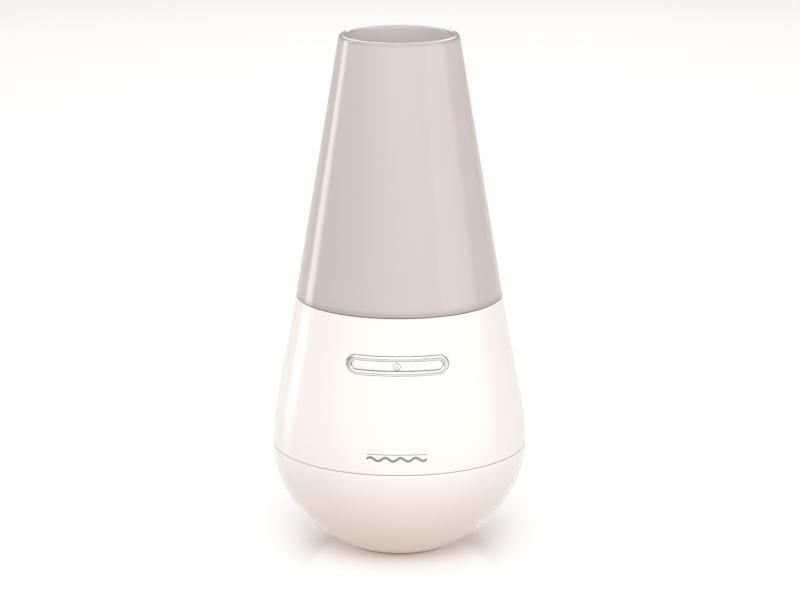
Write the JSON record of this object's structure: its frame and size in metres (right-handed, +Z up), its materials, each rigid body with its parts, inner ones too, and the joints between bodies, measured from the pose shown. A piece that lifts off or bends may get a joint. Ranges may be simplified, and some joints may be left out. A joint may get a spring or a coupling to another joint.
{
  "type": "cool mist humidifier",
  "caption": "Small table-top cool mist humidifier: round-bottomed housing with a bar-shaped power button, inner water basin and a tall tapered lift-off shade.",
  "frame": {"origin": "centre of the foot's underside, on the table", "axes": "+Z up along the housing's axis, -Y towards the front with the power button, +Y towards the power inlet"},
  "size_m": [0.116, 0.116, 0.2361],
  "materials": {
    "gloss_white": "glossy white moulded plastic",
    "frosted_shade": "frosted translucent plastic, warm grey",
    "clear_white": "smooth natural white plastic",
    "chrome": "bright plated",
    "foot_rubber": "matt rubber",
    "silicone": "soft translucent silicone",
    "steel": "zinc plated",
    "brass": "turned",
    "copper": "lacquered copper wire",
    "circuit_board": "green solder mask",
    "black_plastic": "satin black",
    "nylon": "natural nylon",
    "lamp": "moulded lens",
    "aluminium": "extruded"
  },
  "bodies": {
    "base": {"upper_housing": "gloss_white", "lower_housing": "gloss_white", "base_foot": "foot_rubber", "chassis": "black_plastic", "fan_frame": "black_plastic", "fan_bearing": "brass", "fan_stator": "copper", "fan_duct": "nylon", "tank_basin": "clear_white", "basin_seal": "silicone", "transducer_disc": "steel", "transducer_seal": "silicone", "transducer_clamp": "nylon", "led_board": "circuit_board", "main_board": "circuit_board", "heat_sink": "aluminium", "driver_transistor": "black_plastic", "drum_coil": "copper", "capacitor": "black_plastic", "dc_socket": "nylon", "transducer_socket": "nylon", "air_tower": "clear_white", "dc_jack": "black_plastic", "dc_jack_pin": "steel", "dc_jack_nut": "steel", "button_bezel": "chrome", "button_board": "circuit_board", "switch_body": "black_plastic", "button_spring_left": "steel", "button_spring_right": "steel", "dc_lead": "black_plastic", "transducer_lead": "black_plastic", "button_lead": "black_plastic", "fan_lead": "black_plastic", "base_screw_1": "steel", "base_screw_2": "steel", "base_screw_3": "steel", "housing_screw_1": "steel", "housing_screw_2": "steel", "housing_screw_3": "steel", "fan_screw_1": "steel", "fan_screw_2": "steel", "transducer_screw_1": "steel", "transducer_screw_2": "steel", "transducer_screw_3": "steel", "led_board_screw_1": "steel", "led_board_screw_2": "steel", "led_1": "lamp", "led_2": "lamp", "led_3": "lamp", "led_4": "lamp", "board_screw_1": "steel", "board_screw_2": "steel", "board_screw_3": "steel"},
    "shade": {"mist_shade": "frosted_shade"},
    "cover": {"mist_cover": "clear_white"},
    "button": {"power_button": "gloss_white"},
    "plunger": {"switch_plunger": "nylon"},
    "rotor": {"fan_rotor": "black_plastic", "fan_shaft": "steel"}
  },
  "joints": [
    {"name": "shade_lift", "type": "slide", "parent": "base", "child": "shade", "axis": [0, 0, 1], "range_m": [0, 0.15]},
    {"name": "mist_cover_lift", "type": "slide", "parent": "base", "child": "cover", "axis": [0, 0, 1], "range_m": [0, 0.06]},
    {"name": "power_button_press", "type": "slide", "parent": "base", "child": "button", "axis": [0, 1, 0], "range_m": [0, 0.0009], "stiffness_N_per_m": 400, "springref_m": -0.001, "deforming": ["button_spring_left", "button_spring_right"]},
    {"name": "switch_plunger_press", "type": "slide", "parent": "base", "child": "plunger", "axis": [0, 1, 0], "range_m": [0, 0.00025]},
    {"name": "fan_spin", "type": "hinge", "parent": "base", "child": "rotor", "pos_m": [0, 0.024, 0], "axis": [0, 0, 1], "continuous": true}
  ],
  "couplings": [
    {"joint": "mist_cover_lift", "follows": "shade_lift", "ratio": 0.4},
    {"joint": "switch_plunger_press", "follows": "power_button_press", "ratio": 0.27}
  ]
}
